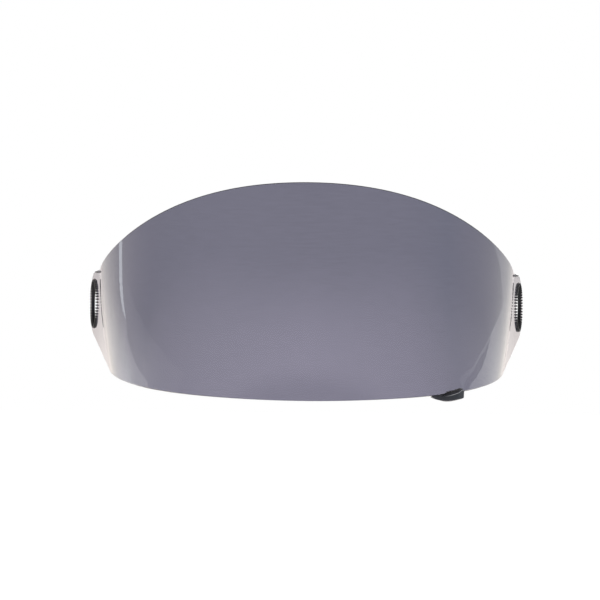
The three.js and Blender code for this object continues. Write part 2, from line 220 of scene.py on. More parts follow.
# The studio
AMBIENT_LEVEL = 0.6
OVERHEAD_LEVEL = 0.05
FLOOR_DEPTH = 250 * MM
FLOOR_SIZE = 5.4
FLOOR_COLOUR = 0.8
FLOOR_ROUGHNESS = 0.9
FLOOR_LIFT = 0.54  # the glow that makes it white to the eye and in reflections
KEY_PLACE = Vector((0, -0.6, 1.6))
KEY_SIZE = (1.6, 1.2)
KEY_POWER = 12

# The studio's wall, an upright oval round the visor that only its reflections show
WALL_HALF_WIDTH = 210 * MM
WALL_HALF_DEPTH = 450 * MM
WALL_TOP = 500 * MM
WALL_FADE_HEIGHT = 250 * MM
WALL_COLUMNS = 480
WALL_FINE_HEIGHT = 60 * MM  # above and below this its rows are coarse
WALL_FINE_STEP = 1 * MM
WALL_COARSE_STEP = 10 * MM
# A bright low band fades into a greyer upper part. Rows: [azimuth in degrees from behind the visor, height
# where the fade starts, height where it ends, the band's colour, the upper colour]
WALL_LIGHTS = [
    [-180, 0 * MM, 190 * MM, (2.15, 2, 2.45), (0.65, 0.67, 0.75)],
    [-145, 0 * MM, 100 * MM, (1.95, 1.85, 2.15), (0.8, 0.82, 0.92)],
    [-125, -25 * MM, 55 * MM, (1.9, 1.8, 2), (0.85, 0.88, 0.95)],
    [-115, -35 * MM, 20 * MM, (2.2, 2.1, 2.15), (0.92, 0.92, 1)],
    [-100, -45 * MM, 10 * MM, (2.1, 2, 1.95), (1.08, 1.05, 1.1)],
    [-80, -55 * MM, 35 * MM, (2.05, 1.95, 1.85), (1.07, 1.03, 1.03)],
    [-54, -55 * MM, 35 * MM, (1.85, 1.7, 1.6), (1.05, 1, 1)],
    [-49, -55 * MM, 30 * MM, (1.3, 1.2, 1.15), (1, 0.93, 0.93)],
    [49, -55 * MM, 30 * MM, (1.3, 1.2, 1.15), (1, 0.95, 0.95)],
    [54, -55 * MM, 35 * MM, (1.75, 1.65, 1.57), (1, 0.97, 0.97)],
    [80, -55 * MM, 15 * MM, (1.9, 1.85, 1.8), (0.92, 0.91, 0.93)],
    [100, -45 * MM, 10 * MM, (2, 1.98, 2), (0.92, 0.92, 0.98)],
    [115, -35 * MM, 30 * MM, (1.85, 1.8, 1.95), (0.85, 0.88, 0.98)],
    [125, -30 * MM, 50 * MM, (1.7, 1.65, 1.85), (0.66, 0.76, 0.88)],
    [145, 0 * MM, 100 * MM, (1.85, 1.75, 2.1), (0.7, 0.74, 0.85)],
    [180, 0 * MM, 190 * MM, (2.15, 2, 2.45), (0.65, 0.67, 0.75)],
]
# Its lower part is dimmer in front, and its lowest part behind
FRONT_DIM = 0.33
FRONT_DIM_DEPTH = 40 * MM
FRONT_DIM_AZIMUTHS = (115, 145)
REAR_DIM = 0.5
REAR_DIM_HEIGHTS = (-45 * MM, -75 * MM)
REAR_DIM_AZIMUTHS = (100, 80)
# A tall window on it, as an outline of (azimuth, height)
WINDOW_LIGHT = (1.3, 1.4, 1.5)
WINDOW = [
    (-88, 70 * MM),
    (-88, 24 * MM),
    (-88.8, 16 * MM),
    (-90.5, 10 * MM),
    (-93, 6 * MM),
    (-97, 3 * MM),
    (-95, 7 * MM),
    (-93.2, 12 * MM),
    (-92.2, 19 * MM),
    (-92, 27 * MM),
    (-92, 70 * MM),
]

# Upright lit panels on each side of the visor, which only its reflections show. Rows: [depth, then the
# panel's places there from the lowest up, as (height, light)]
PANEL_SPAN = 150 * MM
PANEL_FOOT = -60 * MM
PANEL_TOP = 60 * MM
LEDGE_SPAN = 149.5 * MM  # clear of the panel that it overlaps
LEFT_PANEL = [
    [-190 * MM, (PANEL_FOOT, 1.1), (-24 * MM, 1), (-10 * MM, 0.7)],
    [-125 * MM, (PANEL_FOOT, 1.2), (-24 * MM, 1.1), (-14.8 * MM, 0.85)],
    [-113 * MM, (PANEL_FOOT, 1.2), (-24 * MM, 1.1), (-16.8 * MM, 0.85)],
    [-105 * MM, (PANEL_FOOT, 1.2), (-24 * MM, 1.15), (-17.7 * MM, 0.85)],
    [-90 * MM, (PANEL_FOOT, 1.5), (-28 * MM, 1.5), (-17.4 * MM, 0.6)],
    [-80 * MM, (PANEL_FOOT, 1.9), (-32 * MM, 1.9), (-15 * MM, 0.45)],
    [-70 * MM, (PANEL_FOOT, 1.3), (-32 * MM, 1.15), (-11 * MM, 0.3)],
    [-60 * MM, (PANEL_FOOT, 1), (-36 * MM, 0.95), (1 * MM, 0.1)],
    [-50 * MM, (PANEL_FOOT, 0.8), (-36 * MM, 0.7), (4 * MM, 0.02)],
    [-40 * MM, (PANEL_FOOT, 0.52), (-28 * MM, 0.42), (8 * MM, 0)],
    [-20 * MM, (PANEL_FOOT, 0.22), (-28 * MM, 0.22), (8 * MM, 0)],
    [0 * MM, (PANEL_FOOT, 0.12), (-28 * MM, 0.12), (8 * MM, 0.03)],
    [50 * MM, (PANEL_FOOT, 0.02), (-28 * MM, 0.02), (20 * MM, 0.02)],
]
LEFT_LEDGE = [
    [-190 * MM, (PANEL_FOOT, 0.6), (-12 * MM, 0.6), (-9 * MM, 0.35), (-3 * MM, 0.2)],
    [-153 * MM, (PANEL_FOOT, 0.7), (-12 * MM, 0.65), (-9 * MM, 0.35), (-5 * MM, 0.2)],
    [-127 * MM, (PANEL_FOOT, 0.9), (-14 * MM, 0.7), (-10 * MM, 0.35), (-4 * MM, 0.18)],
    [-113 * MM, (PANEL_FOOT, 0.9), (-15.5 * MM, 0.85), (-12 * MM, 0.42), (-3 * MM, 0.18)],
    [-100 * MM, (PANEL_FOOT, 0.75), (-16 * MM, 0.6), (-13 * MM, 0.5), (-1 * MM, 0.15)],
    [-88 * MM, (PANEL_FOOT, 0.6), (-17 * MM, 0.5), (-13 * MM, 0.4), (3 * MM, 0.14)],
    [-77 * MM, (PANEL_FOOT, 0.3), (-16 * MM, 0.3), (-12 * MM, 0.25), (7 * MM, 0.12)],
    [-64 * MM, (PANEL_FOOT, 0.2), (-16 * MM, 0.2), (-12 * MM, 0.18), (15 * MM, 0.08)],
    [-50 * MM, (PANEL_FOOT, 0), (-16 * MM, 0), (-12 * MM, 0), (26 * MM, 0)],
]
RIGHT_PANEL = [
    [-190 * MM, (PANEL_FOOT, 1.2), (-10 * MM, 1.2)],
    [-116 * MM, (PANEL_FOOT, 1.1), (-17.5 * MM, 1.05)],
    [-100 * MM, (PANEL_FOOT, 1.05), (-19.9 * MM, 1)],
    [-85 * MM, (PANEL_FOOT, 1), (-20.4 * MM, 0.95)],
    [-73 * MM, (PANEL_FOOT, 0.85), (-18.2 * MM, 0.8)],
    [-63 * MM, (PANEL_FOOT, 0.66), (-14.2 * MM, 0.66)],
    [-51 * MM, (PANEL_FOOT, 0.42), (-8.2 * MM, 0.48)],
    [-38 * MM, (PANEL_FOOT, 0.25), (-4.7 * MM, 0.35)],
    [-20 * MM, (PANEL_FOOT, 0.1), (1 * MM, 0.18)],
    [-16 * MM, (PANEL_FOOT, 0.08), (5 * MM, 0.15)],
    [0 * MM, (PANEL_FOOT, 0.05), (5 * MM, 0.08)],
    [50 * MM, (PANEL_FOOT, 0.02), (5 * MM, 0.04)],
]
RIGHT_UPPER_PANEL = [
    [-66 * MM, (59 * MM, 0.3), (PANEL_TOP, 0.3)],
    [-44 * MM, (36.4 * MM, 0.28), (PANEL_TOP, 0.28)],
    [-29 * MM, (25 * MM, 0.25), (PANEL_TOP, 0.25)],
    [-22 * MM, (13.4 * MM, 0.2), (PANEL_TOP, 0.2)],
    [-16 * MM, (5 * MM, 0.15), (PANEL_TOP, 0.15)],
    [0 * MM, (5 * MM, 0.08), (PANEL_TOP, 0.1)],
    [50 * MM, (5 * MM, 0.04), (PANEL_TOP, 0.04)],
]
RIGHT_LINE = [
    [-45 * MM, (-8 * MM, 0.3), (-7 * MM, 0.3)],
    [-57 * MM, (-11.3 * MM, 0.4), (-10 * MM, 0.4)],
    [-76 * MM, (-15.2 * MM, 0.4), (-13.6 * MM, 0.4)],
    [-101 * MM, (-17.3 * MM, 0.4), (-15.8 * MM, 0.4)],
    [-132 * MM, (-14 * MM, 0.3), (-12.5 * MM, 0.3)],
]


def mix(a, b, share):
    return a + (b - a) * share


def eased(start, end, value):
    """Rises smoothly from 0 at the start to 1 at the end, and stays level beyond them."""
    share = max(0, min(1, (value - start) / (end - start)))
    return share * share * (3 - 2 * share)


# The shell's surface

def ear_plane_x(y):
    return EAR_HOLE_HALF_SPAN + math.tan(EAR_SPLAY) * y


def crease_y(z):
    fall = max(0, CREASE_TOP_HEIGHT - z) / (CREASE_TOP_HEIGHT + CREASE_FOOT_DEPTH)
    return -CREASE_SETBACK - CREASE_SWEEP * fall * fall


def front_reach_at(z):
    return FRONT_REACH - math.tan(FRONT_LEAN) * z - z * z / (2 * FRONT_BOW_RADIUS)


def lens_point(share, z):
    """The front's outer surface in the +X half: share runs from 0 in the middle to 1 at the crease."""
    start_y = -front_reach_at(z)
    end_y = crease_y(z)
    end_x = ear_plane_x(end_y)
    control_x = end_x - (end_y - start_y) / math.tan(CREASE_ANGLE)
    first = (1 - share) ** 2
    middle = 2 * SHOULDER_SHARE * share * (1 - share)
    last = share ** 2
    total = first + middle + last
    x = (middle * control_x + last * end_x) / total
    y = ((first + middle) * start_y + last * end_y) / total
    return Vector((x, y, z))


def lens_normal(share, z):
    across = lens_point(share + SLOPE_STEP_SHARE, z) - lens_point(share - SLOPE_STEP_SHARE, z)
    up = lens_point(share, z + SLOPE_STEP) - lens_point(share, z - SLOPE_STEP)
    return across.cross(up).normalized()


def edge_curve(rear, rear_rise, front, front_rise):
    """A quadratic curve between two (depth, height) places with the given slopes, as height over depth."""
    run = rear[0] - front[0]
    along = (front[1] - rear[1] - run * front_rise) / (rear_rise - front_rise)
    control = (rear[0] - along, rear[1] + along * rear_rise)
    bend = rear[0] - 2 * control[0] + front[0]
    lead = control[0] - rear[0]

    def height(y):
        if y <= front[0]:
            return front[1] + (front[0] - y) * front_rise
        share = (y - rear[0]) / (lead - math.sqrt(lead * lead + bend * (y - rear[0])))
        return mix(mix(rear[1], control[1], share), mix(control[1], front[1], share), share)

    return height


def ear_touch(start, side):
    """Where the straight edge from a place meets the round end of the ear, as (depth, height)."""
    away = math.acos(EAR_RADIUS / math.hypot(*start))
    angle = math.atan2(start[1], start[0]) - side * away
    return (EAR_RADIUS * math.cos(angle), EAR_RADIUS * math.sin(angle))


def ear_edge(start, side):
    touch = ear_touch(start, side)

    def height(y):
        if y <= touch[0]:
            return mix(start[1], touch[1], (y - start[0]) / (touch[0] - start[0]))
        return side * math.sqrt(max(0, EAR_RADIUS ** 2 - y * y))

    return height


CREASE_TOP = (crease_y(CREASE_TOP_HEIGHT), CREASE_TOP_HEIGHT)
CREASE_FOOT = (crease_y(-CREASE_FOOT_DEPTH), -CREASE_FOOT_DEPTH)
FRONT_TOP = (-front_reach_at(FRONT_TOP_HEIGHT), FRONT_TOP_HEIGHT)
FRONT_BOTTOM = (-front_reach_at(-FRONT_BOTTOM_DEPTH), -FRONT_BOTTOM_DEPTH)
lens_top = edge_curve(CREASE_TOP, math.tan(TOP_REAR_SLOPE), FRONT_TOP, math.tan(TOP_FRONT_SLOPE))
lens_bottom = edge_curve(
    CREASE_FOOT, -math.tan(BOTTOM_REAR_SLOPE), FRONT_BOTTOM, -math.tan(BOTTOM_FRONT_SLOPE)
)
ear_top = ear_edge(CREASE_TOP, 1)
ear_bottom = ear_edge(CREASE_FOOT, -1)


def turning_place(start, end, before):
    """Where, between start and end, before(place) turns from true to false."""
    for _ in range(SOLVE_STEPS):
        middle = (start + end) / 2
        if before(middle):
            start = middle
        else:
            end = middle
    return (start + end) / 2


def crossing(depth_at, edge, far):
    """The height, between 0 and far, at which a column crosses an edge. Its depth is depth_at(height)."""
    return turning_place(0, far, lambda z: (z - edge(depth_at(z))) * far < 0)


def lens_ends(share):
    """The heights of a column's lower and upper end."""
    def depth_at(z):
        return lens_point(share, z).y

    low = crossing(depth_at, lens_bottom, BELOW_ALL)
    high = crossing(depth_at, lens_top, ABOVE_ALL)
    return low, high


def share_at_edge(x):
    """The share of the column whose lower edge is this far from the middle plane."""
    return turning_place(0, 1, lambda share: lens_point(share, lens_ends(share)[0]).x < x)


TONGUE_ROOT_SHARES = [share_at_edge(x) for x in (TONGUE_INNER_END, TONGUE_OUTER_END)]
TONGUE_TIP_SHARES = [
    share_at_edge(x) for x in (TONGUE_INNER_END + TONGUE_CHAMFER, TONGUE_OUTER_END - TONGUE_CHAMFER)
]
TAB_START, TAB_END = [share_at_edge(x) for x in (TAB_INNER_END, TAB_OUTER_END)]


def share_of_length(length):
    return length * (TAB_END - TAB_START) / (TAB_OUTER_END - TAB_INNER_END)


def on_shell(share, out, rise):
    """A place near the lift tab: out in front of the outer face, and rise above the lower edge."""
    z = lens_ends(share)[0] + rise
    return lens_point(share, z) + lens_normal(share, z) * out


# Meshes

def piece_from(mesh, name, material, body, node):
    """Makes an object of a bmesh, which stands for a CAD node."""
    bmesh.ops.recalc_face_normals(mesh, faces=mesh.faces)
    data = bpy.data.meshes.new(name)
    mesh.to_mesh(data)
    mesh.free()
    data.shade_smooth()
    data.materials.append(material)
    piece = bpy.data.objects.new(name, data)
    bpy.context.scene.collection.objects.link(piece)
    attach(piece, body)
    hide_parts(node)
    return piece


def cut(piece, cutter_mesh):
    """Takes a closed bmesh out of a piece."""
    bmesh.ops.recalc_face_normals(cutter_mesh, faces=cutter_mesh.faces)
    data = bpy.data.meshes.new("cutter")
    cutter_mesh.to_mesh(data)
    cutter_mesh.free()
    cutter = bpy.data.objects.new("cutter", data)
    bpy.context.scene.collection.objects.link(cutter)
    boolean = piece.modifiers.new("cut", "BOOLEAN")
    boolean.operation = "DIFFERENCE"
    boolean.solver = "EXACT"
    boolean.object = cutter
    bpy.context.view_layer.update()
    graph = bpy.context.evaluated_depsgraph_get()
    made = bpy.data.meshes.new_from_object(piece.evaluated_get(graph))
    piece.modifiers.clear()
    piece.data = made
    bpy.data.objects.remove(cutter)


def tube(mesh, rings, closed=False):
    """Joins closed rings of bmesh vertices into a tube. An open tube gets end faces."""
    size = len(rings[0])
    pairs = list(zip(rings, rings[1:] + rings[:1])) if closed else list(zip(rings, rings[1:]))
    for ring, following in pairs:
        for k in range(size):
            n = (k + 1) % size
            mesh.faces.new((ring[k], ring[n], following[n], following[k]))
    if not closed:
        mesh.faces.new(rings[0][::-1])
        mesh.faces.new(rings[-1])


def rounded(corners, radius):
    """A flat outline with its corners rounded."""
    count = len(corners)
    made = []
    for k, corner in enumerate(corners):
        before = corners[k - 1] - corner
        after = corners[(k + 1) % count] - corner
        reach = min(radius, before.length / SIDES_PER_ARC, after.length / SIDES_PER_ARC)
        start = corner + before.normalized() * reach
        end = corner + after.normalized() * reach
        for i in range(CORNER_PARTS + 1):
            t = i / CORNER_PARTS
            made.append(start * (1 - t) ** 2 + corner * 2 * t * (1 - t) + end * t ** 2)
    return made


def rim_profile(on_hole):
    """The rim's section as (how far into the material, how deep below the outer face)."""
    arc = [i / RIM_ARC_PARTS * 90 * DEGREE for i in range(RIM_ARC_PARTS + 1)]
    first = [(RIM_RADIUS * (1 - math.sin(a)), RIM_RADIUS * (1 - math.cos(a))) for a in arc]
    first.insert(0, (RIM_RADIUS + RIM_SUPPORT, 0))
    last = [(inset, SHELL_THICKNESS - depth) for inset, depth in reversed(first)]
    if not on_hole:
        return first + last
    top = SHELL_THICKNESS / 2 - GROOVE_HALF_WIDTH
    bottom = SHELL_THICKNESS / 2 + GROOVE_HALF_WIDTH
    return first + [(0, top), (GROOVE_DEPTH, top), (GROOVE_DEPTH, bottom), (0, bottom)] + last


def thicken(sheet):
    """Makes a closed shell of an open sheet whose faces look outwards, with a rounded rim."""
    sheet.normal_update()
    outer = list(sheet.verts)
    place = {v: v.co.copy() for v in outer}
    normal = {v: v.normal.copy() for v in outer}
    inner = {v: sheet.verts.new(place[v] - normal[v] * SHELL_THICKNESS) for v in outer}
    border = [edge.link_loops[0] for edge in sheet.edges if edge.is_boundary]
    following = {loop.vert: loop.link_loop_next.vert for loop in border}
    leading = {b: a for a, b in following.items()}
    for face in list(sheet.faces):
        sheet.faces.new([inner[v] for v in reversed(face.verts)])
    rims = {}
    for v in following:
        ahead = (place[following[v]] - place[v]).normalized()
        behind = (place[v] - place[leading[v]]).normalized()
        inward = normal[v].cross(ahead + behind).normalized()
        on_hole = math.hypot(place[v].y / math.cos(EAR_SPLAY), place[v].z) < EAR_HOLE_RADIUS + RIM_RADIUS
        points = [place[v] + inward * inset - normal[v] * depth for inset, depth in rim_profile(on_hole)]
        v.co = points[0]
        inner[v].co = points[-1]
        rims[v] = [v, *(sheet.verts.new(point) for point in points[1:-1]), inner[v]]
    for a, b in following.items():
        for k in range(len(rims[a]) - 1):
            sheet.faces.new((rims[b][k], rims[a][k], rims[a][k + 1], rims[b][k + 1]))


def lens_shares():
    """A half's columns up to the rounded crease, as shares, evenly spaced beside and across the tongue."""
    slope = (lens_point(1, 0) - lens_point(1 - SLOPE_STEP_SHARE, 0)).length / SLOPE_STEP_SHARE
    stops = [0, *TONGUE_ROOT_SHARES, 1 - CREASE_SOFTNESS / slope]
    shares = [0]
    for start, end in zip(stops, stops[1:]):
        parts = round((end - start) * LENS_COLUMNS)
        shares += [mix(start, end, i / parts) for i in range(1, parts + 1)]
    return shares


def lens_half(sheet, side):
    """The columns of one half, from the middle to the rounded crease, as vertices from the bottom up."""
    columns = []
    for share in lens_shares():
        low, high = lens_ends(share)
        points = [lens_point(share, mix(low, high, r / ROWS)) for r in range(ROWS + 1)]
        columns.append([sheet.verts.new((side * p.x, p.y, p.z)) for p in points])
    return columns


def tongue(sheet, columns):
    """The tongue under the lower edge, narrower at its tip, from the columns above it."""
    low, high = TONGUE_ROOT_SHARES
    first = lens_shares().index(low)
    shares = [share for share in lens_shares() if low <= share <= high]
    above = [column[0] for column in columns[first : first + len(shares)]]
    for r in range(1, TONGUE_ROWS + 1):
        row = []
        for share in shares:
            at_tip = mix(*TONGUE_TIP_SHARES, (share - low) / (high - low))
            moved = mix(share, at_tip, r / TONGUE_ROWS)
            row.append(sheet.verts.new(on_shell(moved, 0, -TONGUE_DROP * r / TONGUE_ROWS)))
        for k in range(len(row) - 1):
            sheet.faces.new((row[k], row[k + 1], above[k + 1], above[k]))
        above = row


def crease(sheet, side, before, after):
    """The columns of the rounded crease, between the front's last one and the ear's first one."""
    low, high = lens_ends(1)
    corners = [lens_point(1, mix(low, high, r / ROWS)) for r in range(ROWS + 1)]
    columns = []
    for k in range(1, CREASE_PARTS):
        t = k / CREASE_PARTS
        column = []
        for start, corner, end in zip(before, corners, after):
            middle = Vector((side * corner.x, corner.y, corner.z))
            place = start.co * (1 - t) ** 2 + middle * 2 * t * (1 - t) + end.co * t ** 2
            column.append(sheet.verts.new(place))
        columns.append(column)
    return columns


def join_columns(sheet, left, right):
    for r in range(ROWS):
        sheet.faces.new((left[r], right[r], right[r + 1], left[r + 1]))


def ear_run(start, side):
    """Places along an ear's edge, from its crease to the rear of its round end, as (depth, height)."""
    touch = ear_touch(CREASE_TOP if side > 0 else CREASE_FOOT, side)
    line = [
        (mix(start[0], touch[0], i / EAR_LINE_PARTS), mix(start[1], touch[1], i / EAR_LINE_PARTS))
        for i in range(1, EAR_LINE_PARTS + 1)
    ]
    first = math.atan2(touch[1], touch[0])
    angles = [first * (1 - i / EAR_ROUND_PARTS) for i in range(1, EAR_ROUND_PARTS + 1)]
    return line + [(EAR_RADIUS * math.cos(a), EAR_RADIUS * math.sin(a)) for a in angles]


def notched(run):
    """An ear's upper edge with its notches."""
    half = NOTCH_WIDTH / 2 * math.cos(EAR_SPLAY)
    for forward in NOTCH_FORWARDS:
        clear = [p for p in run if abs(p[0] + forward) > NOTCH_MARGIN * half]
        notch = [
            (-forward - half, ear_top(-forward - half)),
            (-forward, ear_top(-forward) - NOTCH_DEPTH),
            (-forward + half, ear_top(-forward + half)),
        ]
        run = sorted(clear + notch, key=lambda p: (p[0], -p[1]))
    return run


def ear(sheet, side):
    """An ear's flat plate round its hole. Gives the column where the crease joins it."""
    def depth_at(z):
        return crease_y(z) + CREASE_SOFTNESS

    low = crossing(depth_at, ear_bottom, BELOW_ALL)
    high = crossing(depth_at, ear_top, ABOVE_ALL)
    front = [(depth_at(mix(low, high, r / ROWS)), mix(low, high, r / ROWS)) for r in range(ROWS + 1)]
    upper = notched(ear_run(front[-1], 1))
    lower = ear_run(front[0], -1)[:-1]
    outline = front[::-1] + lower + upper[::-1]
    around = [Vector((y / math.cos(EAR_SPLAY), z)).normalized() for y, z in outline]
    levels = []
    for k in range(EAR_LEVELS + 1):
        level = []
        for j, (y, z) in enumerate(outline):
            # Beside a notch the direction to the outline turns back, so each is evened with its neighbours.
            inner = (around[j - 1] + around[(j + 1) % len(around)]).normalized() * EAR_HOLE_RADIUS
            at_y = mix(inner.x * math.cos(EAR_SPLAY), y, k / EAR_LEVELS)
            at_z = mix(inner.y, z, k / EAR_LEVELS)
            level.append(sheet.verts.new((side * ear_plane_x(at_y), at_y, at_z)))
        levels.append(level)
    for near, far in zip(levels, levels[1:]):
        for j in range(len(outline)):
            n = (j + 1) % len(outline)
            corners = (near[j], far[j], far[n], near[n])
            sheet.faces.new(corners if side > 0 else corners[::-1])
    return levels[-1][: ROWS + 1][::-1]


def visor_shell(material):
    sheet = bmesh.new()
    right = lens_half(sheet, 1)
    left = lens_half(sheet, -1)
    for vertex in left[0]:
        sheet.verts.remove(vertex)
    left[0] = right[0]
    for side, columns in ((1, right), (-1, left)):
        beside = ear(sheet, side)
        columns += [*crease(sheet, side, columns[-1], beside), beside]
    for a, b in zip(right, right[1:]):
        join_columns(sheet, a, b)
    for a, b in zip(left, left[1:]):
        join_columns(sheet, b, a)
    tongue(sheet, right)
    thicken(sheet)
    piece = piece_from(sheet, "smoke_shell", material, "visor", "visor_shell")
    for cutter in screw_holes():
        cut(piece, cutter)
    return piece


def ear_frame(side):
    """Local Z points out of the ear, local Y up, and the origin is the hole's centre on the outer face."""
    out = Vector((side * math.cos(EAR_SPLAY), -math.sin(EAR_SPLAY), 0))
    up = Vector((0, 0, 1))
    along = up.cross(out)
    turn = Matrix((along, up, out)).transposed().to_4x4()
    return Matrix.Translation((side * EAR_HOLE_HALF_SPAN, 0, 0)) @ turn


def ring_section(top):
    """The ring's section as (radius, height), with its crown at the given height."""
    middle = -SHELL_THICKNESS / 2
    bead = RING_OUTER_RADIUS + BEAD_HEIGHT
    c = RING_CHAMFER
    return [
        (RING_BORE_RADIUS, -SHELL_THICKNESS + c),
        (RING_BORE_RADIUS + c, -SHELL_THICKNESS),
        (RING_OUTER_RADIUS - c, -SHELL_THICKNESS),
        (RING_OUTER_RADIUS, -SHELL_THICKNESS + c),
        (RING_OUTER_RADIUS, middle - BEAD_ROOT_WIDTH / 2),
        (bead, middle - BEAD_TIP_WIDTH / 2),
        (bead, middle + BEAD_TIP_WIDTH / 2),
        (RING_OUTER_RADIUS, middle + BEAD_ROOT_WIDTH / 2),
        (RING_OUTER_RADIUS, top - c),
        (RING_OUTER_RADIUS - c, top),
        (RING_BORE_RADIUS + c, top),
        (RING_BORE_RADIUS, top - c),
    ]


def pivot_ring(side, material):
    name = "left" if side < 0 else "right"
    placing = ear_frame(side)
    mesh = bmesh.new()
    rings = []
    for tooth in range(RING_TOOTH_COUNT):
        for along, rise in TOOTH_SHARES:
            angle = (tooth + along) / RING_TOOTH_COUNT * 360 * DEGREE
            section = ring_section(rise * RING_TOOTH_HEIGHT)
            points = [placing @ Vector((r * math.cos(angle), r * math.sin(angle), h)) for r, h in section]
            rings.append([mesh.verts.new(p) for p in points])
    tube(mesh, rings, closed=True)
    node = "pivot_ring_" + name
    return piece_from(mesh, "toothed_ring_" + name, material, node, node)


# Lift tab, clamp plate and screws

def eased_row(place):
    """The tab's shares at a place along it, on a smooth curve through its sections."""
    rows = TAB_SECTION_SHARES
    k = max(i for i in range(len(rows) - 1) if rows[i][0] <= place)
    before, start, end, after = rows[max(k - 1, 0)], rows[k], rows[k + 1], rows[min(k + 2, len(rows) - 1)]
    run = end[0] - start[0]
    t = (place - start[0]) / run
    made = []
    for n in range(1, len(start)):
        rise_start = (end[n] - before[n]) / (end[0] - before[0]) * run
        rise_end = (after[n] - start[n]) / (after[0] - start[0]) * run
        made.append(
            (2 * t ** 3 - 3 * t ** 2 + 1) * start[n]
            + (t ** 3 - 2 * t ** 2 + t) * rise_start
            + (3 * t ** 2 - 2 * t ** 3) * end[n]
            + (t ** 3 - t ** 2) * rise_end
        )
    return made


def tab_section(place, inset):
    """The tab's section as places out of the shell and above its lower edge, drawn in all round by inset."""
    top, reach, ridge, foot_reach, foot, bottom = eased_row(place)
    scoop = (top + ridge) / 2 * TAB_RISE - TAB_SCOOP_DEPTH * reach
    corners = [
        Vector((-SHELL_THICKNESS, -bottom * (TONGUE_DROP + FIT_GAP + TAB_FLOOR))),
        Vector((-SHELL_THICKNESS, -FIT_GAP)),
        Vector((FIT_GAP, -FIT_GAP)),
        Vector((FIT_GAP, top * TAB_RISE)),
        Vector((reach * TAB_REACH / 2, scoop)),
        Vector((reach * TAB_REACH, ridge * TAB_RISE)),
        Vector((foot_reach * TAB_REACH, -foot * TAB_DROP)),
    ]
    outline = rounded(corners, TAB_EDGE_RADIUS)
    middle = sum(outline, Vector((0, 0))) / len(outline)
    return [p + (middle - p).normalized() * inset for p in outline]


def lift_tab(material):
    mesh = bmesh.new()
    wear_and_highlight = mesh.verts.layers.float.new("wear_and_highlight")
    length = TAB_OUTER_END - TAB_INNER_END
    round_share = TAB_END_RADIUS / length
    stations = []
    for i in range(CORNER_PARTS + 1):
        a = i / CORNER_PARTS * 90 * DEGREE
        stations.append((round_share * (1 - math.sin(a)), TAB_END_RADIUS * (1 - math.cos(a))))
    stations = [(place, inset) for place, inset in reversed(stations)]
    middle = [(mix(round_share, 1 - round_share, i / TAB_SECTIONS), 0) for i in range(1, TAB_SECTIONS)]
    stations = stations + middle + [(1 - place, inset) for place, inset in reversed(stations)]
    rings = []
    for place, inset in stations:
        share = mix(TAB_START, TAB_END, place)
        row = [mesh.verts.new(on_shell(share, p.x, p.y)) for p in tab_section(place, inset)]
        # Its top edge and ridge are marked for grey: partly wear, partly a painted edge highlight.
        for corner in TAB_WEAR_AND_HIGHLIGHT_CORNERS:
            for vertex in row[corner * (CORNER_PARTS + 1) + 1 : (corner + 1) * (CORNER_PARTS + 1) - 1]:
                vertex[wear_and_highlight] = eased(*TAB_WEAR_AND_HIGHLIGHT_FROM, place)
        rings.append(row)
    tube(mesh, rings)
    piece = piece_from(mesh, "thumb_tab", material, "visor", "lift_tab")
    pocket = bmesh.new()
    start = TONGUE_ROOT_SHARES[0] - share_of_length(FIT_GAP)
    end = TONGUE_ROOT_SHARES[1] + share_of_length(FIT_GAP)
    reach = (-SHELL_THICKNESS - OVERRUN, FIT_GAP)
    shell_block(pocket, start, end, reach, (-TONGUE_DROP - FIT_GAP, OVERRUN), 0)
    cut(piece, pocket)
    for cutter in screw_holes():
        cut(piece, cutter)
    return piece


def shell_block(mesh, start, end, reach, rises, radius):
    """A block that follows the shell between two shares, two distances out and two rises."""
    (back, front), (low, high) = reach, rises
    corners = [Vector((back, low)), Vector((back, high)), Vector((front, high)), Vector((front, low))]
    outline = rounded(corners, radius) if radius else corners
    middle = sum(outline, Vector((0, 0))) / len(outline)
    rings = []
    for i in range(BLOCK_PARTS + 1):
        inset = radius * BLOCK_END_INSET_SHARE if i in (0, BLOCK_PARTS) else 0
        points = [p + (middle - p).normalized() * inset for p in outline]
        share = mix(start, end, i / BLOCK_PARTS)
        rings.append([mesh.verts.new(on_shell(share, p.x, p.y)) for p in points])
    tube(mesh, rings)


def clamp_plate(material):
    mesh = bmesh.new()
    front = -SHELL_THICKNESS - FIT_GAP
    reach = (front - CLAMP_THICKNESS, front)
    shell_block(mesh, *TONGUE_ROOT_SHARES, reach, (-TONGUE_DROP, CLAMP_RISE), CLAMP_EDGE_RADIUS)
    piece = piece_from(mesh, "clamp_plate", material, "visor", "tab_clamp_plate")
    for cutter in screw_holes():
        cut(piece, cutter)
    return piece


def screw_frame(x):
    """Local Z points out of the shell, from the place on its outer face where a screw's line passes."""
    share = share_at_edge(x)
    z = lens_ends(share)[0] - SCREW_DEPTH
    out = lens_normal(share, z)
    along = Vector((0, 0, 1)).cross(out).normalized()
    turn = Matrix((along, out.cross(along), out)).transposed().to_4x4()
    return Matrix.Translation(lens_point(share, z)) @ turn


def turned(mesh, profile, placing):
    """A solid of revolution from (radius, height) places, whose ends lie on the axis."""
    rings = []
    for radius, height in profile[1:-1]:
        angles = [k / SCREW_SIDES * 360 * DEGREE for k in range(SCREW_SIDES)]
        points = [placing @ Vector((radius * math.cos(a), radius * math.sin(a), height)) for a in angles]
        rings.append([mesh.verts.new(p) for p in points])
    tube(mesh, rings)


def screw_holes():
    """The screws' holes, as closed bmeshes from behind the clamp plate to inside the lift tab."""
    reach = SHELL_THICKNESS + CLAMP_THICKNESS + FIT_GAP + OVERRUN
    radius = SCREW_RADIUS + SCREW_CLEARANCE
    profile = [(0, -reach), (radius, -reach), (radius, SCREW_BITE + FIT_GAP), (0, SCREW_BITE + FIT_GAP)]
    cutters = []
    for x in SCREW_PLACES:
        mesh = bmesh.new()
        turned(mesh, profile, screw_frame(x))
        cutters.append(mesh)
    return cutters


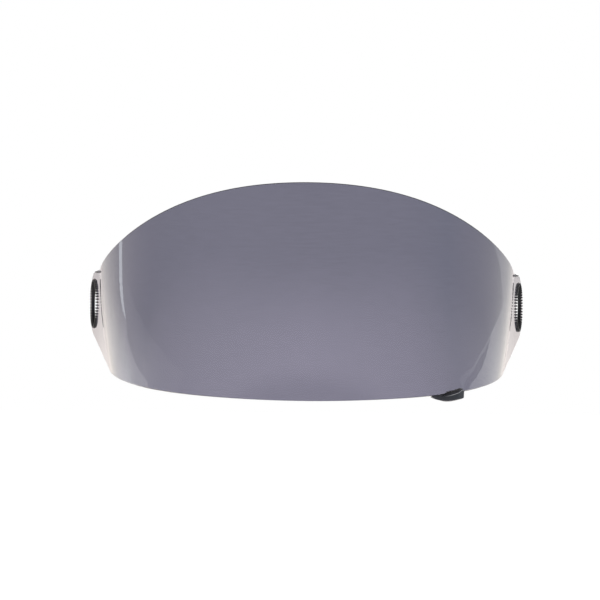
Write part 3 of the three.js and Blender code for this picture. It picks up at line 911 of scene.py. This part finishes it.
def tab_screw(number, material):
    placing = screw_frame(SCREW_PLACES[number - 1])
    seat = -SHELL_THICKNESS - CLAMP_THICKNESS - 2 * FIT_GAP
    profile = [(0, seat - SCREW_HEAD_HEIGHT)]
    for i in range(1, DOME_PARTS + 1):
        angle = i / DOME_PARTS * 90 * DEGREE
        rise = SCREW_HEAD_HEIGHT * mix(SCREW_HEAD_EDGE_SHARE, 1, math.cos(angle))
        profile.append((SCREW_HEAD_RADIUS * math.sin(angle), seat - rise))
    profile += [(SCREW_HEAD_RADIUS, seat), (SCREW_RADIUS, seat), (SCREW_RADIUS, SCREW_BITE), (0, SCREW_BITE)]
    mesh = bmesh.new()
    turned(mesh, profile, placing)
    node = f"tab_screw_{number}"
    piece = piece_from(mesh, f"cross_head_screw_{number}", material, "visor", node)
    for turn in (0, 90 * DEGREE):
        slot = bmesh.new()
        size = Matrix.Diagonal((SCREW_SLOT_LENGTH, SCREW_SLOT_WIDTH, 2 * SCREW_SLOT_DEPTH, 1))
        place = Matrix.Translation((0, 0, seat - SCREW_HEAD_HEIGHT))
        bmesh.ops.create_cube(slot, size=1, matrix=placing @ place @ Matrix.Rotation(turn, 4, "Z") @ size)
        cut(piece, slot)
    return piece


# Materials

def new_material(name):
    material = bpy.data.materials.new(name)
    material.use_nodes = True
    return material, material.node_tree.nodes, material.node_tree.links


def noise(nodes, links, scale, detail, stretch=(1, 1, 1)):
    """A noise texture in the object's own coordinates, in cycles a metre."""
    place = nodes.new("ShaderNodeTexCoord")
    mapping = nodes.new("ShaderNodeMapping")
    mapping.inputs["Scale"].default_value = stretch
    texture = nodes.new("ShaderNodeTexNoise")
    texture.inputs["Scale"].default_value = scale
    texture.inputs["Detail"].default_value = detail
    links.new(place.outputs["Object"], mapping.inputs["Vector"])
    links.new(mapping.outputs["Vector"], texture.inputs["Vector"])
    return texture.outputs["Fac"]


def ranged(nodes, links, source, low, high):
    node = nodes.new("ShaderNodeMapRange")
    node.inputs["To Min"].default_value = low
    node.inputs["To Max"].default_value = high
    links.new(source, node.inputs["Value"])
    return node.outputs["Result"]


def bumped(nodes, links, source, strength, distance):
    node = nodes.new("ShaderNodeBump")
    node.inputs["Strength"].default_value = strength
    node.inputs["Distance"].default_value = distance
    links.new(source, node.inputs["Height"])
    return node.outputs["Normal"]


def mixed_colour(nodes, links, share, first, second):
    """Mixes two colours, each given as numbers or as a socket, by the value of a share's socket."""
    node = nodes.new("ShaderNodeMix")
    node.data_type = "RGBA"
    links.new(share, node.inputs["Factor"])
    for place, colour in zip(MIX_COLOUR_INPUTS, (first, second)):
        if isinstance(colour, tuple):
            node.inputs[place].default_value = (*colour, 1)
        else:
            links.new(colour, node.inputs[place])
    return node.outputs[MIX_COLOUR_OUTPUT]


def smoke_polycarbonate():
    """Clear plastic whose tint is in its depth, so that it darkens where it is seen through more of it."""
    material, nodes, links = new_material("smoke_polycarbonate")
    plastic = nodes["Principled BSDF"]
    plastic.inputs["IOR"].default_value = POLYCARBONATE_IOR
    plastic.inputs["Transmission Weight"].default_value = 1
    plastic.inputs["Roughness"].default_value = 0
    flow = noise(nodes, links, FLOW_LINES, FLOW_DETAIL, FLOW_STRETCH)
    streaks = ranged(nodes, links, flow, *FLOW_CONTRAST)
    shade = mixed_colour(nodes, links, streaks, (FLOW_TINT,) * 3, (1, 1, 1))
    links.new(shade, plastic.inputs["Base Color"])
    links.new(bumped(nodes, links, flow, 1, FLOW_LINE_HEIGHT), plastic.inputs["Normal"])
    tint = nodes.new("ShaderNodeVolumeAbsorption")
    tint.inputs["Color"].default_value = (*TINT_COLOUR, 1)
    tint.inputs["Density"].default_value = TINT_DENSITY
    light = nodes.new("ShaderNodeLightPath")
    clear = nodes.new("ShaderNodeBsdfTransparent")
    either = nodes.new("ShaderNodeMixShader")
    links.new(light.outputs["Is Shadow Ray"], either.inputs["Fac"])
    links.new(plastic.outputs["BSDF"], either.inputs[1])
    links.new(clear.outputs["BSDF"], either.inputs[2])
    output = nodes["Material Output"]
    links.new(either.outputs["Shader"], output.inputs["Surface"])
    links.new(tint.outputs["Volume"], output.inputs["Volume"])
    return material


def black_plastic(name, colour, roughness, gloss, grain, grain_height):
    """Moulded plastic with a fine grain. Edges that a mesh marks are greyer, partly for wear and partly as a
    painted edge highlight.
    """
    material, nodes, links = new_material(name)
    plastic = nodes["Principled BSDF"]
    plastic.inputs["IOR"].default_value = MOULDED_IOR
    plastic.inputs["Specular IOR Level"].default_value = gloss
    patches = noise(nodes, links, MOULDED_PATCHES, MOULDED_PATCH_DETAIL)
    least, most = roughness - MOULDED_ROUGHNESS_SPREAD, roughness + MOULDED_ROUGHNESS_SPREAD
    links.new(ranged(nodes, links, patches, least, most), plastic.inputs["Roughness"])
    fine = noise(nodes, links, grain, GRAIN_DETAIL)
    links.new(bumped(nodes, links, fine, GRAIN_STRENGTH, grain_height), plastic.inputs["Normal"])
    # Marked edges are painted grey: partly wear, partly a painted edge highlight.
    wear_and_highlight = nodes.new("ShaderNodeAttribute")
    wear_and_highlight.attribute_name = "wear_and_highlight"
    shade = mixed_colour(nodes, links, wear_and_highlight.outputs["Fac"], colour, WEAR_AND_HIGHLIGHT_GREY)
    links.new(shade, plastic.inputs["Base Color"])
    return material


def screw_steel():
    material, nodes, links = new_material("screw_steel")
    steel = nodes["Principled BSDF"]
    steel.inputs["Base Color"].default_value = (*STEEL_GREY, 1)
    steel.inputs["Metallic"].default_value = 1
    patches = noise(nodes, links, STEEL_PATCHES, STEEL_PATCH_DETAIL)
    links.new(ranged(nodes, links, patches, *STEEL_ROUGHNESS), steel.inputs["Roughness"])
    return material


# Stage

def camera():
    data = bpy.data.cameras.new("camera")
    data.sensor_fit = "HORIZONTAL"
    data.sensor_width = SENSOR_WIDTH_MM
    data.lens = CAMERA_FOCUS_PX / PHOTO_WIDTH_PX * SENSOR_WIDTH_MM
    made = bpy.data.objects.new("camera", data)
    made.location = CAMERA_PLACE
    made.rotation_euler = (90 * DEGREE, -CAMERA_ROLL, 0)
    bpy.context.scene.collection.objects.link(made)
    bpy.context.scene.camera = made


def surroundings():
    """A world that is white to the eye and through the shell, dim in reflections and otherwise soft."""
    world = bpy.data.worlds.new("surroundings")
    world.use_nodes = True
    bpy.context.scene.world = world
    nodes, links = world.node_tree.nodes, world.node_tree.links
    light = nodes.new("ShaderNodeLightPath")
    ambient, overhead = (AMBIENT_LEVEL,) * 3, (OVERHEAD_LEVEL,) * 3
    reflected = mixed_colour(nodes, links, light.outputs["Is Glossy Ray"], ambient, overhead)
    through = mixed_colour(nodes, links, light.outputs["Is Transmission Ray"], reflected, (1, 1, 1))
    seen = mixed_colour(nodes, links, light.outputs["Is Camera Ray"], through, (1, 1, 1))
    links.new(seen, nodes["Background"].inputs["Color"])
    nodes["Background"].inputs["Strength"].default_value = 1


def inside(outline, across, height):
    """Whether a place lies in an outline of (across, height): it does if the outline crosses above it an
    odd number of times."""
    crossed = False
    for (a, low), (b, high) in zip(outline, outline[1:] + outline[:1]):
        if (a > across) != (b > across) and height < mix(low, high, (across - a) / (b - a)):
            crossed = not crossed
    return crossed


def row_at(rows, value):
    """What the rows say at a value, straight between the two rows beside it."""
    k = max(i for i in range(len(rows) - 1) if rows[i][0] <= value)
    before, after = rows[k], rows[k + 1]
    along = (value - before[0]) / (after[0] - before[0])
    pairs = zip(before[1:], after[1:])
    return [mix(Vector(a), Vector(b), along) if isinstance(a, tuple) else mix(a, b, along) for a, b in pairs]


def wall_light(azimuth, height):
    """The light of the studio's wall at an azimuth, in degrees, and a height."""
    fade_start, fade_end, band, upper = row_at(WALL_LIGHTS, azimuth)
    light = band.lerp(upper, eased(fade_start, fade_end, height))
    front = eased(*FRONT_DIM_AZIMUTHS, abs(azimuth))
    light *= 1 - FRONT_DIM * front * eased(0, -FRONT_DIM_DEPTH, height)
    light *= 1 - REAR_DIM * eased(*REAR_DIM_AZIMUTHS, abs(azimuth)) * eased(*REAR_DIM_HEIGHTS, height)
    if inside(WINDOW, azimuth, height):
        light += Vector(WINDOW_LIGHT)
    overhead = Vector((OVERHEAD_LEVEL,) * 3)
    return light.lerp(overhead, eased(WALL_FADE_HEIGHT, WALL_TOP, height))


def spaced(start, end, step):
    count = round((end - start) / step)
    return [mix(start, end, i / count) for i in range(count)]


def lit_sheet(name, places, rows, lights, clear=False):
    """A sheet that glows in reflections alone, from columns of places with as many rows each, and their
    lights. A clear one adds its light to what is behind it."""
    starts = [k for k in range(len(places) - rows) if (k + 1) % rows]
    data = bpy.data.meshes.new(name)
    data.from_pydata(places, [], [(k, k + 1, k + rows + 1, k + rows) for k in starts])
    data.color_attributes.new("light", "FLOAT_COLOR", "POINT").data.foreach_set("color", lights)
    material, nodes, links = new_material(name + "_light")
    glow = nodes.new("ShaderNodeEmission")
    painted = nodes.new("ShaderNodeAttribute")
    painted.attribute_name = "light"
    links.new(painted.outputs["Color"], glow.inputs["Color"])
    surface = glow.outputs["Emission"]
    if clear:
        both = nodes.new("ShaderNodeAddShader")
        links.new(nodes.new("ShaderNodeBsdfTransparent").outputs["BSDF"], both.inputs[0])
        links.new(surface, both.inputs[1])
        surface = both.outputs["Shader"]
    links.new(surface, nodes["Material Output"].inputs["Surface"])
    material.cycles.emission_sampling = "NONE"
    data.materials.append(material)
    sheet = bpy.data.objects.new(name, data)
    bpy.context.scene.collection.objects.link(sheet)
    for ray in ("camera", "diffuse", "transmission", "volume_scatter", "shadow"):
        setattr(sheet, "visible_" + ray, False)


def studio_wall():
    heights = spaced(-FLOOR_DEPTH, -WALL_FINE_HEIGHT, WALL_COARSE_STEP)
    heights += spaced(-WALL_FINE_HEIGHT, WALL_FINE_HEIGHT, WALL_FINE_STEP)
    heights += spaced(WALL_FINE_HEIGHT, WALL_TOP, WALL_COARSE_STEP)
    places = []
    lights = []
    for azimuth in (mix(-180, 180, i / WALL_COLUMNS) for i in range(WALL_COLUMNS + 1)):
        across, back = math.sin(azimuth * DEGREE), math.cos(azimuth * DEGREE)
        reach = 1 / math.hypot(across / WALL_HALF_WIDTH, back / WALL_HALF_DEPTH)
        for height in heights:
            places.append((across * reach, back * reach, height))
            lights += [*wall_light(azimuth, height), 1]
    lit_sheet("studio_wall", places, len(heights), lights)


def side_panel(name, side, rows, span=PANEL_SPAN):
    """A lit panel beside the visor, upright and along it, at the side and distance given."""
    places = [(side * span, depth, height) for depth, *column in rows for height, _ in column]
    lights = [value for _, *column in rows for _, light in column for value in (light, light, light, 1)]
    lit_sheet(name, places, len(rows[0]) - 1, lights, clear=True)


def floor():
    """A pale floor that keeps the shadow, and is as white as the world to the eye and in reflections."""
    bpy.ops.mesh.primitive_plane_add(size=FLOOR_SIZE, location=(0, 0, -FLOOR_DEPTH))
    made = bpy.context.object
    made.name = "floor"
    material, nodes, links = new_material("pale_floor")
    pale = nodes["Principled BSDF"]
    pale.inputs["Base Color"].default_value = (FLOOR_COLOUR, FLOOR_COLOUR, FLOOR_COLOUR, 1)
    pale.inputs["Roughness"].default_value = FLOOR_ROUGHNESS
    pale.inputs["Specular IOR Level"].default_value = 0
    light = nodes.new("ShaderNodeLightPath")
    total = light.outputs["Is Camera Ray"]
    for name in ("Is Glossy Ray", "Is Transmission Ray"):
        either = nodes.new("ShaderNodeMath")
        either.operation = "MAXIMUM"
        links.new(total, either.inputs[0])
        links.new(light.outputs[name], either.inputs[1])
        total = either.outputs["Value"]
    pale.inputs["Emission Color"].default_value = (1, 1, 1, 1)
    links.new(ranged(nodes, links, total, 0, FLOOR_LIFT), pale.inputs["Emission Strength"])
    made.data.materials.append(material)


def key_lamp():
    """A soft lamp aimed at the origin, which isn't seen in reflections."""
    data = bpy.data.lights.new("key", "AREA")
    data.shape = "RECTANGLE"
    data.size, data.size_y = KEY_SIZE
    data.energy = KEY_POWER
    made = bpy.data.objects.new("key", data)
    made.location = KEY_PLACE
    made.rotation_euler = (-KEY_PLACE).to_track_quat("-Z", "Y").to_euler()
    made.visible_glossy = False
    bpy.context.scene.collection.objects.link(made)


camera()
bpy.context.scene.view_settings.view_transform = "Standard"
surroundings()
studio_wall()
side_panel("left_panel", -1, LEFT_PANEL)
side_panel("left_ledge", -1, LEFT_LEDGE, LEDGE_SPAN)
side_panel("right_panel", 1, RIGHT_PANEL)
side_panel("right_upper_panel", 1, RIGHT_UPPER_PANEL)
side_panel("right_line", 1, RIGHT_LINE)
floor()
key_lamp()

smoke = smoke_polycarbonate()
ring_black = black_plastic(
    "black_ring_plastic", RING_BLACK, RING_ROUGHNESS, RING_GLOSS, RING_GRAIN, RING_GRAIN_HEIGHT
)
tab_black = black_plastic(
    "black_tab_plastic", TAB_BLACK, TAB_ROUGHNESS, TAB_GLOSS, TAB_GRAIN, TAB_GRAIN_HEIGHT
)
steel = screw_steel()

visor_shell(smoke)
pivot_ring(-1, ring_black)
pivot_ring(1, ring_black)
lift_tab(tab_black)
clamp_plate(tab_black)
tab_screw(1, steel)
tab_screw(2, steel)
